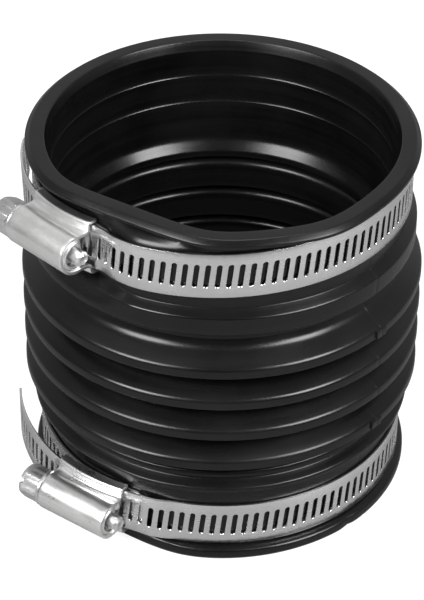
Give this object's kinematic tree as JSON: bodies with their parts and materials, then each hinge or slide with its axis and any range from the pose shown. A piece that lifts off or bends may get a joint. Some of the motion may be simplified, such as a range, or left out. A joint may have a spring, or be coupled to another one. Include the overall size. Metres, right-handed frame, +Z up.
{
  "type": "bellows pipe coupling",
  "caption": "Round rubber pipe coupling with a ribbed bellows middle and a plain cuff at each end, each cuff held by a perforated worm-drive band clamp.",
  "frame": {"origin": "on the pipe's centre line, in the plane of the lower rim's flat face", "axes": "+Z up the pipe's centre line; both clamps have their worm screws on the -Y side, roughly along X, heads towards -X, the upper one turned -7 degrees about Z and the lower one 4 degrees; mould parting line at +X and -X"},
  "size_m": [0.1214, 0.1317, 0.1168],
  "materials": {
    "rubber": "satin moulded black rubber",
    "band_steel": "satin rolled stainless strip",
    "housing_steel": "pressed stainless sheet, satin with bright edges",
    "screw_steel": "zinc-bright rolled steel"
  },
  "bodies": {
    "lower_end": {"lower_cuff": "rubber", "lower_neck": "rubber", "lower_band": "band_steel", "lower_saddle": "housing_steel", "lower_housing": "housing_steel"},
    "fold_1": {"fold_1": "rubber"},
    "fold_2": {"fold_2": "rubber"},
    "fold_3": {"fold_3": "rubber"},
    "fold_4": {"fold_4": "rubber"},
    "upper_end": {"upper_cuff": "rubber", "upper_neck": "rubber", "upper_band": "band_steel", "upper_saddle": "housing_steel", "upper_housing": "housing_steel"},
    "lower_screw": {"lower_screw": "screw_steel"},
    "lower_tail": {"lower_band_tail": "band_steel"},
    "upper_screw": {"upper_screw": "screw_steel"},
    "upper_tail": {"upper_band_tail": "band_steel"}
  },
  "joints": [
    {"name": "stretch_low", "type": "slide", "parent": "lower_end", "child": "fold_1", "axis": [0, 0, 1], "range_m": [-0.003, 0.003], "stiffness_N_per_m": 12000, "deforming": ["fold_1"]},
    {"name": "bend_about_x", "type": "hinge", "parent": "fold_1", "child": "fold_2", "pos_m": [0, 0, 0.0469], "axis": [1, 0, 0], "range_deg": [-7, 7], "stiffness_Nm_per_rad": 25, "deforming": ["fold_2"]},
    {"name": "stretch_middle", "type": "slide", "parent": "fold_2", "child": "fold_3", "axis": [0, 0, 1], "range_m": [-0.003, 0.003], "stiffness_N_per_m": 12000, "deforming": ["fold_3"]},
    {"name": "bend_about_y", "type": "hinge", "parent": "fold_3", "child": "fold_4", "pos_m": [0, 0, 0.0694], "axis": [0, 1, 0], "range_deg": [-7, 7], "stiffness_Nm_per_rad": 25, "deforming": ["fold_4"]},
    {"name": "stretch_high", "type": "slide", "parent": "fold_4", "child": "upper_end", "axis": [0, 0, 1], "range_m": [-0.003, 0.003], "stiffness_N_per_m": 12000},
    {"name": "upper_screw_turn", "type": "hinge", "parent": "upper_end", "child": "upper_screw", "pos_m": [-0.01463, -0.05936, 0.10206], "axis": [0.9916, -0.1219, 0.0436], "range_deg": [-630, 630]},
    {"name": "upper_band_feed", "type": "hinge", "parent": "upper_end", "child": "upper_tail", "pos_m": [-0.00762, -0.00219, 0.10236], "axis": [0.044, 0, -0.999], "range_deg": [-6.1, 6.1]},
    {"name": "lower_screw_turn", "type": "hinge", "parent": "lower_end", "child": "lower_screw", "pos_m": [-0.00105, -0.06383, 0.0128], "axis": [0.9976, 0.0698, 0], "range_deg": [-630, 630]},
    {"name": "lower_band_feed", "type": "hinge", "parent": "lower_end", "child": "lower_tail", "pos_m": [-0.00563, 0.00161, 0.0128], "axis": [0, 0, -1], "range_deg": [-5.3, 5.3]}
  ],
  "couplings": [
    {"joint": "stretch_middle", "follows": "stretch_low", "ratio": 1},
    {"joint": "stretch_high", "follows": "stretch_low", "ratio": 1},
    {"joint": "upper_band_feed", "follows": "upper_screw_turn", "ratio": 0.0096527},
    {"joint": "lower_band_feed", "follows": "lower_screw_turn", "ratio": 0.0083731}
  ]
}
